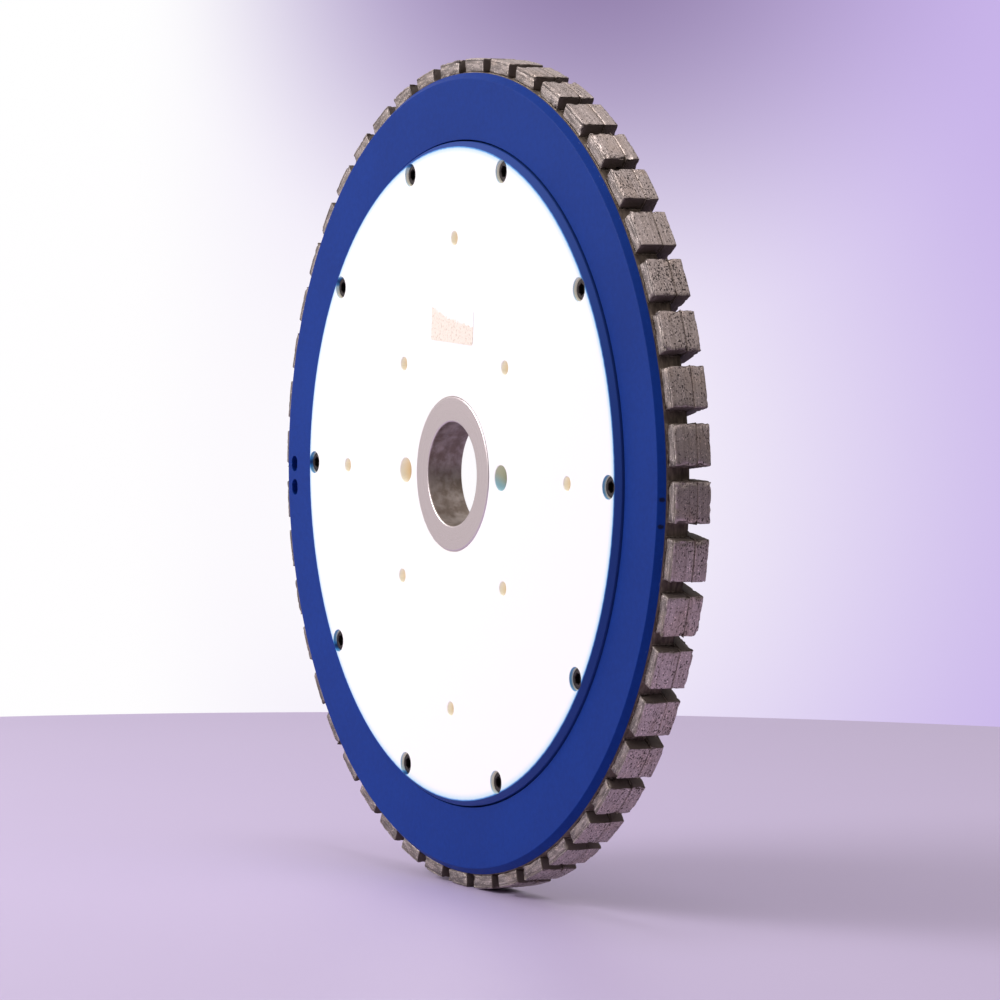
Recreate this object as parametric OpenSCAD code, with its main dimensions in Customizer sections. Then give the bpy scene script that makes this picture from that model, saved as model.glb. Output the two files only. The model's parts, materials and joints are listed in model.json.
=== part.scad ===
// Segmented diamond grinding wheel: a blue steel rim on a white nylon core with a steel bore bush.
// Row frame in millimetres: the spindle axis lies along Y, the front face looks along -Y and +Z is up.
// The origin is on the axis, half way along the bore.

/* [Wheel] */
// Outer diameter over the diamond segments
wheel_d = 400; // [390:1:420]
// Thickness of the steel rim between its flat front and its back
rim_t = 15; // [14:0.5:18]
// How far the nylon face stands in front of the rim's flat front
face_step = 3.5; // [2.5:0.1:4]
// How far the bush stands in front of the nylon face
bush_step = 0.3; // [0.1:0.1:1]

/* [Bore bush] */
// Bore diameter, a slide fit on the machine spindle
bore_d = 50; // [30:0.5:52]
// Outer diameter of the bush where it shows in the front face
bush_d = 75; // [66:0.5:78]
// Diameter of the shoulder at the back of the bush
shoulder_d = 84; // [81:0.5:84]
// Thickness of that shoulder
shoulder_t = 4; // [3:0.5:6]
// Chamfer on the mouths of the bore
bore_chamfer = 0.6; // [0.3:0.1:1]

/* [Nylon core] */
// Diameter of the core's front plate
core_d = 320; // [316:1:320]
// Bevel round the front edge of the core
core_bevel = 2.7; // [1:0.1:3]
// Diameter of the core where it passes through the rim
spigot_d = 279.4; // [270:0.1:280]

/* [Steel rim] */
// Diameter of the cylinder that carries the segments
rim_d = 386; // [382:1:386]
// Chamfer round the front of the rim
rim_chamfer = 3; // [1:0.1:4]
// Open joint between the core's edge and the rim's recess, on the radius
joint_gap = 0.7; // [0.4:0.1:1]
// Thickness of the inner flange that the core is screwed to
flange_t = 7.5; // [6.5:0.5:8]

/* [Core screws] */
// Number of socket head screws
screw_count = 10; // [6:1:12]
// Pitch circle diameter of the screws
screw_pcd = 304; // [300:1:304]
// Thread diameter
screw_d = 6; // [5:1:6]
// Length under the head
screw_length = 10; // [8:1:11]
// How far the heads lie below the nylon face
head_depth = 1.3; // [0.5:0.1:2]
// Diameter of the counterbores
counterbore_d = 11; // [10.5:0.1:11]

/* [Fixing holes] */
// Diameter of the flange bolt holes on both circles
bolt_hole_d = 6.6; // [5.5:0.1:9]
// Pitch circle diameter of the outer flange bolts
outer_pcd = 227; // [200:0.5:240]
// Pitch circle diameter of the inner flange bolts
inner_pcd = 147.5; // [130:0.5:160]
// Diameter of the two drive pin holes
pin_hole_d = 12; // [8:0.5:12]
// Pitch circle diameter of the drive pins
pin_pcd = 98.5; // [98:0.5:110]

/* [Balance drillings] */
// Diameter of the drill used to balance the rim
balance_d = 6.2; // [4:0.1:8]
// Depth of the balance drillings
balance_depth = 6; // [3:0.5:10]
// Distance of the drillings from the axis
balance_r = 182.8; // [175:0.1:184]
// Angle of the first pair of drillings
balance_angle = 180.6; // [0:0.1:359]
// Angle between the two pairs
balance_step = 3.8; // [3:0.1:10]
// Distance between the two touches of the drill in each pair
balance_overlap = 1.8; // [1:0.1:3]

/* [Diamond segments] */
// Segments round the rim
segment_count = 48; // [36:1:50]
// Angle of the first segment from the +X direction
segment_phase = -1.5; // [-3.5:0.1:3.5]
// Length of a rim segment along the circumference
rim_segment_l = 19.6; // [16:0.1:20]
// Gap between the rim's front chamfer and the front of the segments
segment_setback = 0.75; // [0.3:0.05:2]
// Length of a side segment along the circumference
side_segment_l = 20; // [16:0.1:20]
// Thickness of a side segment behind the rim
side_segment_t = 7.2; // [5:0.1:9]
// Height of a side segment along the radius
side_segment_h = 24; // [15:0.5:26]
// Thickness of the brazed seams under and behind the segments
braze_t = 0.2; // [0.1:0.05:0.4]

/* [Label] */
// Width of the paper label
label_w = 43.6; // [20:0.1:60]
// Height of the paper label
label_h = 16.8; // [10:0.1:25]
// Height of the label's centre above the axis
label_rise = 71.4; // [60:0.1:90]
// Tilt of the label, clockwise seen from the front
label_tilt = 3; // [-10:0.5:10]

/* [Hidden] */
$fn = 120;
// Radial play that keeps a thread or a located diameter from touching its hole
fit_play = 0.05;
head_d = 10;
head_h = 6;
hex_flats = 5;
hex_depth = 3;
head_chamfer = 0.5;
bush_chamfer = 0.8;
label_t = 0.15;

// Heights along the axis, measured from the middle of the bore towards the front
bush_length = bush_step + face_step + rim_t;
bush_front = bush_length / 2;
face_z = bush_front - bush_step;
rim_front = face_z - face_step;
back_z = -bush_front;
flange_top = back_z + flange_t;
chamfer_z = rim_front - rim_chamfer;
segment_front = chamfer_z - segment_setback;
side_front = back_z - braze_t;
side_back = side_front - side_segment_t;
head_top = face_z - head_depth;
head_seat = head_top - head_h;

wheel_r = wheel_d / 2;
rim_r = rim_d / 2;
recess_r = core_d / 2 + joint_gap;
flange_r = spigot_d / 2 + 0.3;
seat_r = rim_r + braze_t;
segment_pitch = 360 / segment_count;

function two_digits(n) = str(n < 10 ? "0" : "", n);
function rim_segment_name(n) = str("rim_segment_", two_digits(n));

// Stands a part that is drawn face up on the XY plane, so that its face looks along -Y
module face_forward() {
    rotate([90, 0, 0]) children();
}

// Copies its children round the axis
module round_axis(count, radius, phase = 0) {
    for (i = [0:count - 1])
        rotate([0, 0, phase + i * 360 / count])
            translate([radius, 0, 0])
                children();
}

// A cylinder between two heights
module plug(diameter, low, high) {
    translate([0, 0, low]) cylinder(h = high - low, d = diameter);
}

// The plan outline of the segment numbered n, with parallel ends, between two radii
module segment_plan(length, inner, outer, n) {
    intersection() {
        difference() {
            circle(r = outer);
            circle(r = inner);
        }
        rotate(segment_phase + (n - 1) * segment_pitch)
            translate([inner / 2, -length / 2])
                square([outer, length]);
    }
}

// One segment, or one seam, between two heights
module segment_block(length, inner, outer, low, high, n) {
    translate([0, 0, low])
        linear_extrude(high - low)
            segment_plan(length, inner, outer, n);
}

// Blue steel rim with the recess and the tapped flange for the core
module rim_ring() {
    color("royalblue")
    face_forward()
    difference() {
        rotate_extrude()
            polygon([
                [flange_r, back_z], [rim_r, back_z], [rim_r, chamfer_z], [rim_r - rim_chamfer, rim_front],
                [recess_r, rim_front], [recess_r, flange_top], [flange_r, flange_top]
            ]);
        round_axis(screw_count, screw_pcd / 2)
            plug(screw_d, back_z - 1, flange_top + 1);
        balance_drillings();
    }
}

// Pairs of overlapping drill touches in the rim's flat front
module balance_drillings() {
    for (pair = [0, 1])
        for (touch = [-0.5, 0.5])
            rotate([0, 0, balance_angle + pair * balance_step])
                translate([balance_r, touch * balance_overlap, 0])
                    plug(balance_d, rim_front - balance_depth, rim_front + 1);
}

// White nylon core with its screw counterbores and fixing holes
module core_disc() {
    bush_hole_r = bush_d / 2 + fit_play;
    shoulder_hole_r = shoulder_d / 2 + fit_play;
    shoulder_z = back_z + shoulder_t;
    color("white")
    face_forward()
    difference() {
        rotate_extrude()
            polygon([
                [shoulder_hole_r, back_z], [spigot_d / 2, back_z], [spigot_d / 2, flange_top],
                [core_d / 2, flange_top], [core_d / 2, face_z - core_bevel],
                [core_d / 2 - core_bevel, face_z], [bush_hole_r, face_z],
                [bush_hole_r, shoulder_z], [shoulder_hole_r, shoulder_z]
            ]);
        round_axis(screw_count, screw_pcd / 2) {
            plug(screw_d + 0.6, flange_top - 1, face_z + 1);
            plug(counterbore_d, head_seat, face_z + 1);
        }
        round_axis(4, outer_pcd / 2) plug(bolt_hole_d, back_z - 1, face_z + 1);
        round_axis(4, inner_pcd / 2, 45) plug(bolt_hole_d, back_z - 1, face_z + 1);
        round_axis(2, pin_pcd / 2) plug(pin_hole_d, back_z - 1, face_z + 1);
    }
}

// Steel bush with the bore, and a shoulder that bears on the back of the core
module hub_bush() {
    bore_r = bore_d / 2;
    shoulder_z = back_z + shoulder_t;
    color("silver")
    face_forward()
    rotate_extrude()
        polygon([
            [bore_r, back_z + bore_chamfer], [bore_r + bore_chamfer, back_z], [shoulder_d / 2, back_z],
            [shoulder_d / 2, shoulder_z], [bush_d / 2, shoulder_z], [bush_d / 2, bush_front - bush_chamfer],
            [bush_d / 2 - bush_chamfer, bush_front], [bore_r + bore_chamfer, bush_front],
            [bore_r, bush_front - bore_chamfer]
        ]);
}

// One socket head cap screw, standing on its seat at the height head_seat
module cap_screw() {
    tip_z = head_seat - screw_length;
    shank_r = screw_d / 2 - fit_play;
    difference() {
        rotate_extrude()
            polygon([
                [0, tip_z], [shank_r - head_chamfer, tip_z], [shank_r, tip_z + head_chamfer],
                [shank_r, head_seat], [head_d / 2, head_seat], [head_d / 2, head_top - head_chamfer],
                [head_d / 2 - head_chamfer, head_top], [0, head_top]
            ]);
        translate([0, 0, head_top - hex_depth])
            cylinder(h = hex_depth + 1, d = hex_flats / cos(30), $fn = 6);
    }
}

// The screws that hold the core in the rim
module cap_screws() {
    color("dimgray")
    face_forward()
    round_axis(screw_count, screw_pcd / 2)
        cap_screw();
}

// Blank paper label on the nylon face
module label_patch() {
    color("antiquewhite")
    face_forward()
    translate([-1.3, label_rise, face_z])
        rotate([0, 0, -label_tilt])
            translate([-label_w / 2, -label_h / 2, 0])
                cube([label_w, label_h, label_t]);
}

// Silver solder under each rim segment and behind the rim, one angle of it to a station
module braze_seams() {
    color("goldenrod")
    face_forward()
    for (n = [1:segment_count]) {
        segment_block(rim_segment_l, rim_r, seat_r, side_front, segment_front, n);
        segment_block(rim_segment_l, wheel_r - side_segment_h, wheel_r, side_front, back_z, n);
    }
}

// Diamond segments on the back of the rim, for the edge of the cut
module side_segments() {
    color("gray")
    face_forward()
    for (n = [1:segment_count])
        segment_block(side_segment_l, wheel_r - side_segment_h, wheel_r, side_back, side_front, n);
}

// Diamond segment numbered n on the rim's cylinder
module rim_segment(n) {
    color("gray")
    face_forward()
    segment_block(rim_segment_l, seat_r, wheel_r, back_z, segment_front, n);
}

rim_ring();
core_disc();
hub_bush();
cap_screws();
label_patch();
braze_seams();
side_segments();
for (n = [1:segment_count])
    rim_segment(n);
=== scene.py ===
"""A segmented diamond grinding wheel, finished for a studio picture.

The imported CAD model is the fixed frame. Each sub-assembly of the wheel is a class that builds its detailed
meshes round the frame's own boxes and dresses them in its finish. Lengths are in millimetres until a mesh is
made, and the spindle axis is Y, with the front face towards -Y.
"""

from __future__ import annotations

import json
import logging
import math
import random
from dataclasses import dataclass
from enum import Enum
from functools import cache
from itertools import product
from typing import Any, Callable, NamedTuple, Sequence, Union

import bmesh
import bpy
from mathutils import Matrix, Vector, noise


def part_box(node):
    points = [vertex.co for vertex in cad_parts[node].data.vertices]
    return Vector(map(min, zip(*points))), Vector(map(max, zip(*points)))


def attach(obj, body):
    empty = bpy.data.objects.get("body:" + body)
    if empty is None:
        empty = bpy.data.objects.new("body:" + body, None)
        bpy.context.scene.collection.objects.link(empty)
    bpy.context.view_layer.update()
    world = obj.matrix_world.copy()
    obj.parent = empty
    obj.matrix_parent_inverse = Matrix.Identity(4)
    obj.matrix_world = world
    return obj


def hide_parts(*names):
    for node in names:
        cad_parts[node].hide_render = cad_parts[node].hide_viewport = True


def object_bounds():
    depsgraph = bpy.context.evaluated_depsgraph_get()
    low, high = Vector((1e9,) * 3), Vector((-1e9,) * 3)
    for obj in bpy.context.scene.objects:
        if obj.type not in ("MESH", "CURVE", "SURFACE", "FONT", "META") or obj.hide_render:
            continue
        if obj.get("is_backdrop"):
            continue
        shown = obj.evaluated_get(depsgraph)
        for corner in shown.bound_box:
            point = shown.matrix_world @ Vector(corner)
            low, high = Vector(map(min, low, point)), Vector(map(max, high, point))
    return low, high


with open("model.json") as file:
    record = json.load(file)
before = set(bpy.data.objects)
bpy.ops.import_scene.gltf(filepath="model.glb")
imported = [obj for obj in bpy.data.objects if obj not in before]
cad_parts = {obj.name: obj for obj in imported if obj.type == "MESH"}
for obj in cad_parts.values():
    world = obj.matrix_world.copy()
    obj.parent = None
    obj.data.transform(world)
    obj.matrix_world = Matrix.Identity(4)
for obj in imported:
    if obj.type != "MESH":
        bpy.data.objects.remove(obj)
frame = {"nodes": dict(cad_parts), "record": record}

LOG = logging.getLogger("grinding_wheel")
MM = 0.001
BODY = "root"
SCREW_COUNT = 10
SCREW_R = 152.0
STATIONS = 48
STATION_PHASE = math.radians(-1.5)
TOOL_PHASE = 0.37  # share of a step that keeps a tool's points clear of the body's own
MOUNTS = {mount["name"]: mount["dims"] for mount in frame["record"]["mounts"]}
Colour = tuple[float, float, float]
Spot = tuple[float, float]
Axis = tuple[float, float, float]
Outline = Sequence[tuple[float, float, float]]
Thing = bpy.types.Object
Mesh = bmesh.types.BMesh
Grid = dict[tuple[int, int, int], bmesh.types.BMVert]


# --- shader expressions


class Sock:
    """One output of a shader node, used as a number in Python expressions."""

    def __init__(self, graph: Graph, socket: bpy.types.NodeSocket | None) -> None:
        """Keeps the output, which an output node doesn't have, and its graph."""
        self.graph = graph
        self.socket = socket

    def sibling(self, name: str) -> Sock:
        """Another output of the same node."""
        return Sock(self.graph, self.socket.node.outputs[name])

    def call(self, operation: str, *others: Value) -> Sock:
        """A Math node, such as SINE or MAXIMUM, on this value and others."""
        return self.graph.math(operation, self, *others)

    def __add__(self, other: Value) -> Sock:
        """self + other."""
        return self.call("ADD", other)

    def __sub__(self, other: Value) -> Sock:
        """self - other."""
        return self.call("SUBTRACT", other)

    def __rsub__(self, other: Value) -> Sock:
        """other - self."""
        return self.graph.math("SUBTRACT", other, self)

    def __mul__(self, other: Value) -> Sock:
        """self * other."""
        return self.call("MULTIPLY", other)

    def __truediv__(self, other: Value) -> Sock:
        """self / other."""
        return self.call("DIVIDE", other)

    def __rtruediv__(self, other: Value) -> Sock:
        """other / self."""
        return self.graph.math("DIVIDE", other, self)

    def __neg__(self) -> Sock:
        """-self."""
        return self * -1.0

    def __abs__(self) -> Sock:
        """abs(self)."""
        return self.call("ABSOLUTE")

    __radd__ = __add__
    __rmul__ = __mul__

    def smooth(self, low: Value, high: Value) -> Sock:
        """A soft step from 0 at low to 1 at high, which runs the other way where low is above high.

        Args:
            low: Where it is 0.
            high: Where it is 1.

        Returns:
            The step, from 0 to 1.
        """
        return self.graph.node(
            "ShaderNodeMapRange",
            {"interpolation_type": "SMOOTHSTEP"},
            {"Value": self, "From Min": low, "From Max": high},
        )

    def between(self, low: float, high: float, soft: float) -> Sock:
        """1 between low and high, falling to 0 over a soft margin outside them."""
        return self.smooth(low - soft, low) * self.smooth(high + soft, high)


Value = Union[Sock, float, tuple]


class Place(NamedTuple):
    """Where a shaded point lies: its coordinates in millimetres, and round the spindle axis."""

    vector: Sock
    x: Sock
    y: Sock
    z: Sock
    r: Sock


class Facing(NamedTuple):
    """How far a shaded surface faces forwards, and how far it faces round the axis."""

    front: Sock
    around: Sock


class Graph:
    """A material's or a world's node tree, filled by one method."""

    def __init__(self, tree: bpy.types.NodeTree) -> None:
        """Empties the tree."""
        self.tree = tree
        tree.nodes.clear()

    def node(
        self, kind: str, settings: dict | None = None, inputs: dict | None = None, output: str | int = 0
    ) -> Sock:
        """Adds a node, sets it up, and feeds its sockets.

        Args:
            kind: The node's type.
            settings: Its properties, which are set first.
            inputs: A value or a link for each socket, by name, identifier or number.
            output: The output to hand back.

        Returns:
            That output, or an empty one from a node that has none.
        """
        made = self.tree.nodes.new(kind)
        for key, value in (settings or {}).items():
            setattr(made, key, value)
        for key, value in (inputs or {}).items():
            self.feed(value, self._find(made.inputs, key))
        return Sock(self, self._find(made.outputs, output) if made.outputs else None)

    def feed(self, value: Value, socket: bpy.types.NodeSocket) -> None:
        """Links a value to a socket, or sets it there.

        Args:
            value: Another node's output, a number, or a colour or vector.
            socket: The input that takes it.
        """
        if isinstance(value, Sock):
            self.tree.links.new(value.socket, socket)
        elif socket.type == "RGBA":
            socket.default_value = (*value, 1.0)
        else:
            socket.default_value = value

    @staticmethod
    def _find(sockets: Any, key: str | int) -> bpy.types.NodeSocket:
        """A node's socket by its number, its identifier or its name.

        Args:
            sockets: The node's inputs or outputs.
            key: Which one.

        Returns:
            The socket.
        """
        if isinstance(key, int):
            return sockets[key]
        return next((s for s in sockets if s.identifier == key), None) or sockets[key]

    def math(self, operation: str, *values: Value) -> Sock:
        """A Math node on some values."""
        return self.node("ShaderNodeMath", {"operation": operation}, dict(enumerate(values)))

    def mix(self, share: Value, first: Value, second: Value) -> Sock:
        """A colour part way from the first to the second.

        Args:
            share: How far.
            first: The colour at 0.
            second: The colour at 1.

        Returns:
            The mixed colour.
        """
        return self.node(
            "ShaderNodeMix",
            {"data_type": "RGBA"},
            {"Factor_Float": share, "A_Color": first, "B_Color": second},
            "Result_Color",
        )

    def dim(self, colour: Value, share: Value) -> Sock:
        """A colour made brighter or darker."""
        return self.node("ShaderNodeVectorMath", {"operation": "SCALE"}, {"Vector": colour, "Scale": share})

    def dot(self, first: Value, second: Value) -> Sock:
        """The dot product of two vectors."""
        settings = {"operation": "DOT_PRODUCT"}
        return self.node("ShaderNodeVectorMath", settings, {0: first, 1: second}, "Value")

    def place(self) -> Place:
        """The shaded point's place, in millimetres.

        Returns:
            Its coordinates.
        """
        point = self.node("ShaderNodeTexCoord", output="Object")
        scaled = self.dim(point, 1.0 / MM)
        x = self.node("ShaderNodeSeparateXYZ", inputs={"Vector": scaled})
        z = x.sibling("Z")
        return Place(scaled, x, x.sibling("Y"), z, self.away(x, z))

    def facing(self, place: Place) -> Facing:
        """Which way the surface faces at a place on the wheel.

        Args:
            place: The shaded point.

        Returns:
            How it faces.
        """
        normal = self.node("ShaderNodeNewGeometry", output="Normal")
        x = self.node("ShaderNodeSeparateXYZ", inputs={"Vector": normal})
        z = x.sibling("Z")
        around = (z * place.x - x * place.z) / place.r
        return Facing(-x.sibling("Y"), abs(around))

    def grain(self, vector: Value, size: float, detail: float = 2.0, roughness: float = 0.5) -> Sock:
        """Even noise from 0 to 1 with blotches of a size in millimetres.

        Args:
            vector: The shaded point.
            size: The blotches' size.
            detail: How much finer noise they carry.
            roughness: How strong that is.

        Returns:
            The noise.
        """
        return self.node(
            "ShaderNodeTexNoise",
            inputs={"Vector": vector, "Scale": 1.0 / size, "Detail": detail, "Roughness": roughness},
        )

    @staticmethod
    def away(x: Value, y: Value) -> Sock:
        """The length of a flat vector."""
        return (x * x + y * y).call("SQRT")

    def streaks(self, place: Place, along: float, across: float, detail: float = 2.0) -> Sock:
        """Noise drawn out round the spindle axis, as turning and grinding leave it.

        Args:
            place: The shaded point.
            along: Length of a streak round the axis.
            across: Its width along the axis and the radius.
            detail: How much finer noise it carries.

        Returns:
            A value about 0.5 that runs from 0 to 1.
        """
        vector = self.node(
            "ShaderNodeCombineXYZ",
            inputs={"X": place.x / along, "Y": place.z / along, "Z": place.r / across},
        )
        return self.node(
            "ShaderNodeTexNoise",
            {"noise_dimensions": "4D"},
            {"Vector": vector, "W": place.y / across, "Scale": 1.0, "Detail": detail},
        )

    def bump(self, height: Sock, depth: float) -> Sock:
        """A normal from a height of 0 to 1 that stands for a depth in millimetres."""
        inputs = {"Height": height, "Distance": depth * MM, "Strength": 1.0}
        return self.node("ShaderNodeBump", inputs=inputs)


# --- finishes


@dataclass(frozen=True)
class Finish:
    """A surface finish, made as one procedural material."""

    slot: str

    @cache
    def material(self) -> bpy.types.Material:
        """Builds the finish's material, the first time that it is asked for.

        Returns:
            The material, named after the record's slot.
        """
        made = bpy.data.materials.new(self.slot)
        made.use_nodes = True
        graph = Graph(made.node_tree)
        shader = graph.node("ShaderNodeBsdfPrincipled", inputs=self.surface(graph), output="BSDF")
        graph.node("ShaderNodeOutputMaterial", inputs={"Surface": shader})
        return made

    def surface(self, graph: Graph) -> dict[str, Value]:
        """The Principled shader's inputs."""
        raise NotImplementedError


@dataclass(frozen=True)
class BlueEnamel(Finish):
    """Satin enamel over the steel rim, which stops at the cylinder that carries the segments."""

    slot: str = "blue_paint"
    enamel: Colour = (0.005, 0.033, 0.218)
    shade: Colour = (0.004, 0.026, 0.180)
    bruise: Colour = (0.006, 0.006, 0.012)
    chipped: Colour = (0.20, 0.24, 0.38)
    steel: Colour = (0.27, 0.215, 0.17)
    soot: Colour = (0.095, 0.072, 0.058)
    cylinder_r: float = 193.0
    chamfer_y: float = -2.6
    dents: tuple[tuple[float, float], ...] = ((191.6, -4.0), (190.8, -16.1))

    def surface(self, graph: Graph) -> dict[str, Value]:
        """Enamel with chips along the chamfer's edge, and bare steel between the segments.

        Args:
            graph: The tree that takes the nodes.

        Returns:
            The shader's inputs by name.
        """
        at = graph.place()
        cloud = graph.grain(at.vector, 60.0, 3.0)
        mottle = graph.grain(at.vector, 2.6, 3.0, 0.6)
        peel = graph.grain(at.vector, 0.9, 2.0)
        edge = at.r.smooth(self.cylinder_r - 1.5, self.cylinder_r - 0.1) * at.y.smooth(0.0, self.chamfer_y)
        flakes = graph.streaks(at, 2.6, 0.5, 3.0)
        chips = flakes.smooth(0.68, 0.73) * edge
        scuffs = graph.grain(at.vector, 0.7, 4.0, 0.7).smooth(0.74, 0.80)
        worn = chips.call("MAXIMUM", scuffs * 0.25)
        bare = at.r.smooth(self.cylinder_r - 0.22, self.cylinder_r - 0.06) * at.y.smooth(
            self.chamfer_y - 0.2, self.chamfer_y + 0.1
        )
        rust = graph.streaks(at, 5.0, 1.6, 3.0)
        metal = graph.mix(rust.smooth(0.25, 0.8), self.soot, self.steel)
        paint = graph.mix((cloud * 0.5 + mottle * 0.5).smooth(0.3, 0.7), self.shade, self.enamel)
        paint = graph.mix(worn * 0.8, paint, self.chipped)
        for x, z in self.dents:
            dent = (graph.away(at.x - x, at.z - z) + peel * 0.8).smooth(1.8, 1.1)
            dent = dent * at.y.smooth(0.0, self.chamfer_y)
            paint = graph.mix(dent * 0.85, paint, self.bruise)
        height = peel * 0.5 + mottle * 0.5 - chips * 2.0
        return {
            "Base Color": graph.mix(bare, paint, metal),
            "Roughness": 0.36 + cloud * 0.08 + peel * 0.08 + bare * 0.3 + worn * 0.2,
            "Metallic": bare * 0.3,
            "Specular IOR Level": 0.05,
            "Normal": graph.bump(height, 0.012),
        }


@dataclass(frozen=True)
class MachinedNylon(Finish):
    """White nylon, creamy inside its holes, with the rim's enamel over its bevel and outer edge."""

    slot: str = "white_nylon"
    white: Colour = (0.87, 0.862, 0.845)
    cream: Colour = (0.80, 0.765, 0.66)
    amber: Colour = (0.79, 0.65, 0.42)
    mist: Colour = (0.40, 0.62, 0.74)
    deep: Colour = (0.06, 0.27, 0.52)
    olive: Colour = (0.56, 0.53, 0.37)
    teal: Colour = (0.34, 0.54, 0.62)
    cyan: Colour = (0.02, 0.22, 0.60)
    enamel: Colour = (0.0165, 0.050, 0.24)
    face_y: float = -9.1
    bevel_r: float = 157.3
    pocket_r: float = 5.5
    stained_pin: tuple[float, float] = (49.25, 0.0)

    def surface(self, graph: Graph) -> dict[str, Value]:
        """Nylon with overspray from the rim, and hole walls that glow as painted light, standing in for
        light coming through the nylon.

        Args:
            graph: The tree that takes the nodes.

        Returns:
            The shader's inputs by name.
        """
        at = graph.place()
        face = graph.facing(at)
        ragged = (graph.grain(at.vector, 3.0, 3.0) - 0.5) * 0.9
        rim = at.r + ragged * 0.5
        haze = rim.smooth(self.bevel_r - 6.5, self.bevel_r + 0.4)
        line = rim.smooth(self.bevel_r - 0.75, self.bevel_r - 0.1)
        coat = rim.smooth(self.bevel_r - 0.1, self.bevel_r + 0.35) * at.y.smooth(1.8, 0.5)
        wall = abs(face.front).smooth(0.85, 0.5) * at.r.smooth(self.bevel_r + 0.5, self.bevel_r - 0.5)
        depth = at.y - self.face_y
        # Hole walls run from cream to amber with depth: the nylon's own cream colour, deepened to amber as
        # painted light carried through the translucent nylon.
        lined = graph.mix(depth.smooth(0.2, 6.0), self.cream, self.amber)
        side = (abs(at.x) - at.z * 0.35).smooth(92.0, 150.0)
        sprayed = wall * self.pocket(at) * (depth + ragged).smooth(0.9 + side * 1.5, 0.2 + side * 0.6)
        x, z = self.stained_pin
        pin = graph.away(at.x - x, at.z - z)
        low = (at.z + depth * 0.6 + ragged).smooth(4.5, -3.0)
        stain = graph.mix(low, self.olive, self.teal)
        lined = graph.mix(wall * pin.smooth(7.5, 6.8), lined, stain)
        body = graph.mix(wall, self.white, lined)
        body = graph.mix(haze * haze * haze * 0.9, body, self.mist)
        body = graph.mix(sprayed * 0.9, body, graph.mix(side, self.mist, self.deep))
        body = graph.mix(line * 0.85, body, self.cyan)
        body = graph.mix(coat, body, self.enamel)
        rings = graph.streaks(at, 90.0, 0.35, 2.0)
        scratches = graph.streaks(at, 14.0, 0.2, 4.0).smooth(0.66, 0.74)
        return {
            "Base Color": body,
            "Roughness": 0.5 + rings * 0.12 - coat * 0.12 + scratches * 0.1,
            # Hole walls near the face glow in their own colour: painted light, standing in for light carried
            # through the translucent nylon.
            "Emission Color": graph.dim(body, wall * depth.smooth(9.0, 4.0) * 0.27),
            "Emission Strength": 1.0,
            "Specular IOR Level": 0.12,
            "Normal": graph.bump(rings * 0.6 - scratches * 0.4, 0.012),
        }

    def pocket(self, at: Place) -> Sock:
        """1 in and round the screws' counterbores, and 0 elsewhere.

        Args:
            at: The shaded point.

        Returns:
            The mask.
        """
        step = math.tau / SCREW_COUNT
        angle = at.z.call("ARCTAN2", at.x)
        turned = angle - (angle / step).call("ROUND") * step
        x = at.r * turned.call("COSINE") - SCREW_R
        z = at.r * turned.call("SINE")
        return Graph.away(x, z).smooth(self.pocket_r + 0.6, self.pocket_r + 0.3)


@dataclass(frozen=True)
class TurnedSteel(Finish):
    """Bright turned steel with a satin face and a streaked bore."""

    slot: str = "hub_steel"
    bright: Colour = (0.575, 0.505, 0.51)
    dull: Colour = (0.555, 0.485, 0.49)
    oiled: Colour = (0.55, 0.48, 0.43)
    stain: Colour = (0.30, 0.24, 0.195)
    bore_r: float = 25.0

    def surface(self, graph: Graph) -> dict[str, Value]:
        """Fine turning rings on the face, and longer handling marks in the bore.

        Args:
            graph: The tree that takes the nodes.

        Returns:
            The shader's inputs by name.
        """
        at = graph.place()
        bore = at.r.smooth(self.bore_r + 0.5, self.bore_r + 0.1)
        rings = graph.streaks(at, 30.0, 0.08, 3.0)
        marks = graph.streaks(at, 6.0, 1.6, 4.0)
        clouds = graph.grain(at.vector, 7.0, 4.0, 0.6)
        face = graph.mix(rings, self.dull, self.bright)
        worn = graph.mix(clouds.smooth(0.34, 0.66), self.stain, self.oiled)
        worn = graph.dim(worn, 0.72 + marks * 0.4)
        return {
            "Base Color": graph.mix(bore, face, worn),
            "Metallic": 1.0,
            "Roughness": 0.25 + rings * 0.06 + bore * (marks * 0.2 + 0.12),
            "Normal": graph.bump(rings * 0.5 + marks * bore, 0.0008),
        }


@dataclass(frozen=True)
class BlackenedSteel(Finish):
    """Oil-blackened screw steel, rubbed brown where a key has touched it."""

    slot: str = "screw_steel"
    black: Colour = (0.012, 0.010, 0.010)
    rubbed: Colour = (0.045, 0.035, 0.034)
    head_top: float = -7.8

    def surface(self, graph: Graph) -> dict[str, Value]:
        """Blackening worn through on the top of the head.

        Args:
            graph: The tree that takes the nodes.

        Returns:
            The shader's inputs by name.
        """
        at = graph.place()
        top = at.y.smooth(self.head_top + 0.7, self.head_top + 0.1)
        wear = graph.grain(at.vector, 0.8, 4.0, 0.65)
        rubbed = top * wear.smooth(0.25, 0.6)
        return {
            "Base Color": graph.mix(rubbed, self.black, self.rubbed),
            "Metallic": 0.5 + rubbed * 0.3,
            "Roughness": 0.52 - rubbed * 0.12 + wear * 0.1,
            "Specular IOR Level": 0.2,
            "Normal": graph.bump(wear, 0.02),
        }


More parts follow.
